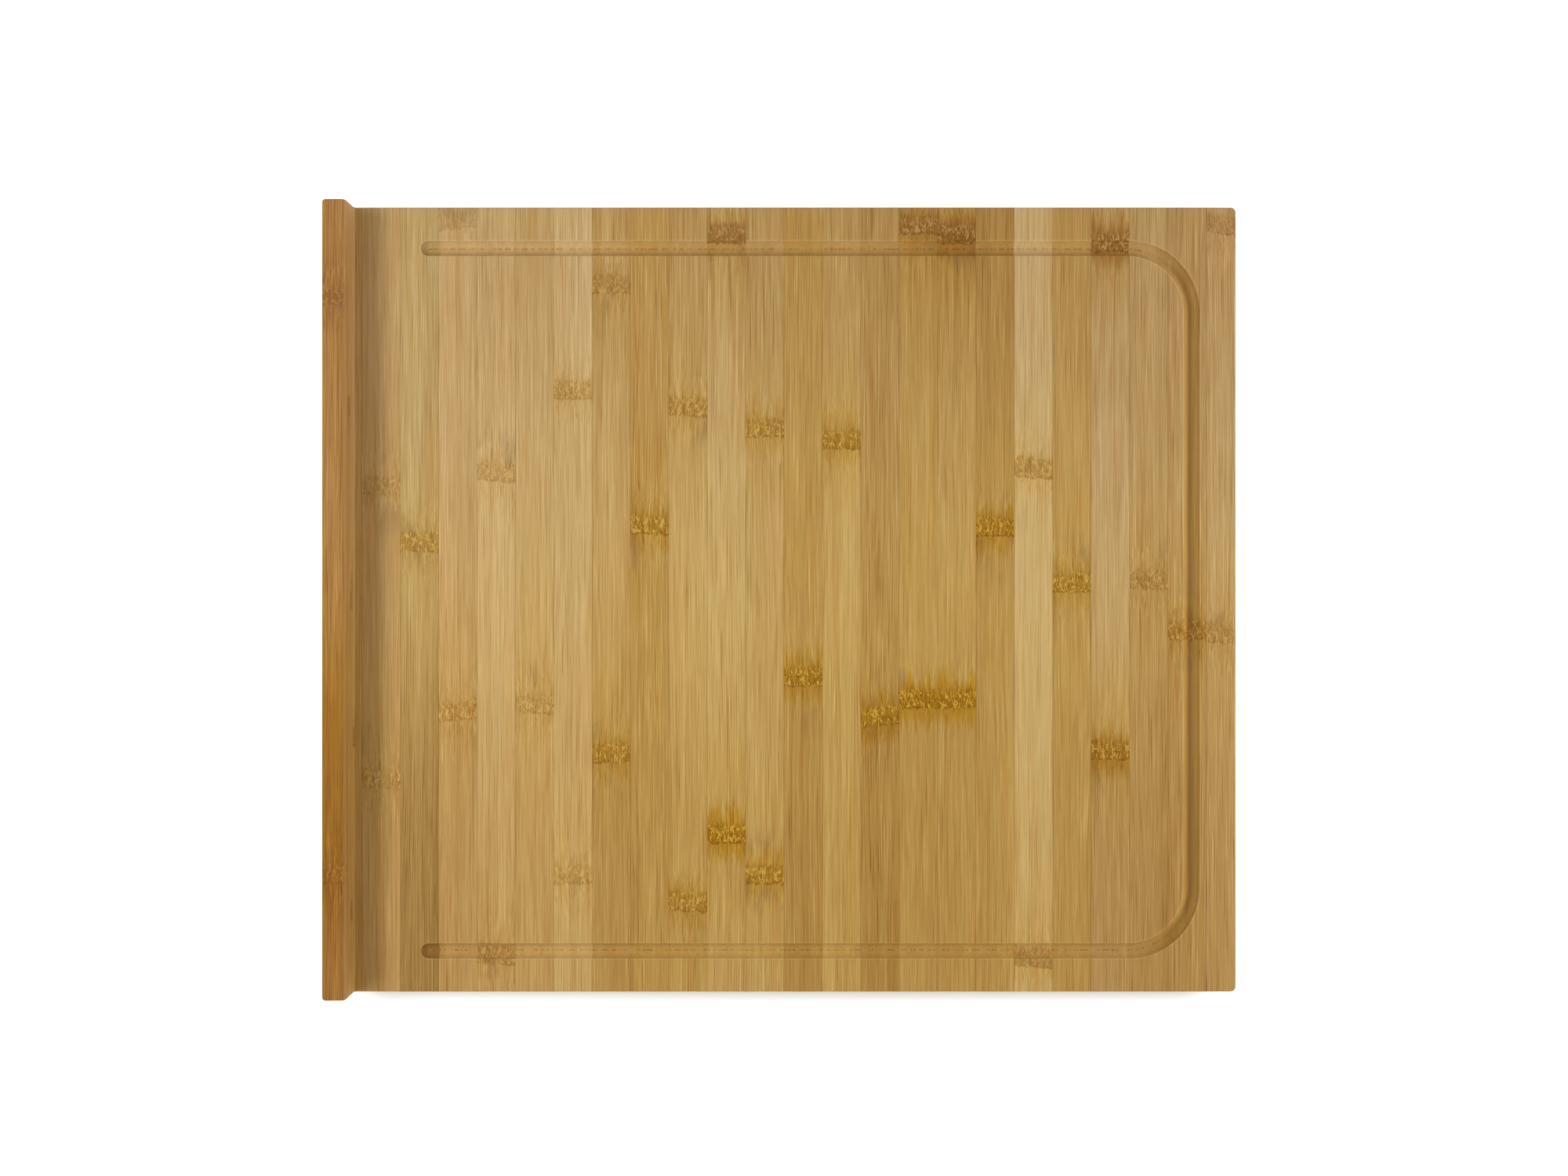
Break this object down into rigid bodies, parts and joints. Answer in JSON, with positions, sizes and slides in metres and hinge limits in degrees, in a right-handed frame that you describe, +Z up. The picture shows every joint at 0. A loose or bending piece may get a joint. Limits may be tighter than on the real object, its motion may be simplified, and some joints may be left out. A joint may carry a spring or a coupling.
{
  "type": "cutting board",
  "caption": "Rectangular laminated bamboo cutting board with a raised stop lip along one side and a U-shaped juice groove.",
  "frame": {"origin": "centre of the rectangle on the plain underside, where the board rests", "axes": "+Z up, out of the grooved face; X across the strips, with the lip along the -X side; Y along the strips and the lip"},
  "size_m": [0.53, 0.46, 0.038],
  "materials": {
    "bamboo_face": "oiled satin bamboo, golden strips with dashed knuckle bands",
    "bamboo_back": "oiled satin bamboo, plain face",
    "bamboo_core": "bamboo end grain at the two sides, side grain at the two ends",
    "bamboo_lip": "oiled satin bamboo, a redder brown than the face"
  },
  "bodies": {
    "root": {"top_strip_01": "bamboo_face", "top_strip_02": "bamboo_face", "top_strip_03": "bamboo_face", "top_strip_04": "bamboo_face", "top_strip_05": "bamboo_face", "top_strip_06": "bamboo_face", "top_strip_07": "bamboo_face", "top_strip_08": "bamboo_face", "top_strip_09": "bamboo_face", "top_strip_10": "bamboo_face", "top_strip_11": "bamboo_face", "top_strip_12": "bamboo_face", "top_strip_13": "bamboo_face", "top_strip_14": "bamboo_face", "top_strip_15": "bamboo_face", "top_strip_16": "bamboo_face", "top_strip_17": "bamboo_face", "top_strip_18": "bamboo_face", "top_strip_19": "bamboo_face", "top_strip_20": "bamboo_face", "top_strip_21": "bamboo_face", "top_strip_22": "bamboo_face", "top_strip_23": "bamboo_face", "top_strip_24": "bamboo_face", "bottom_strip_01": "bamboo_back", "bottom_strip_02": "bamboo_back", "bottom_strip_03": "bamboo_back", "bottom_strip_04": "bamboo_back", "bottom_strip_05": "bamboo_back", "bottom_strip_06": "bamboo_back", "bottom_strip_07": "bamboo_back", "bottom_strip_08": "bamboo_back", "bottom_strip_09": "bamboo_back", "bottom_strip_10": "bamboo_back", "bottom_strip_11": "bamboo_back", "bottom_strip_12": "bamboo_back", "bottom_strip_13": "bamboo_back", "bottom_strip_14": "bamboo_back", "bottom_strip_15": "bamboo_back", "bottom_strip_16": "bamboo_back", "bottom_strip_17": "bamboo_back", "bottom_strip_18": "bamboo_back", "bottom_strip_19": "bamboo_back", "bottom_strip_20": "bamboo_back", "bottom_strip_21": "bamboo_back", "bottom_strip_22": "bamboo_back", "bottom_strip_23": "bamboo_back", "bottom_strip_24": "bamboo_back", "core_strips": "bamboo_core", "lip_ply_1": "bamboo_lip", "lip_ply_2": "bamboo_lip", "lip_ply_3": "bamboo_lip", "lip_ply_4": "bamboo_lip"}
  },
  "joints": []
}
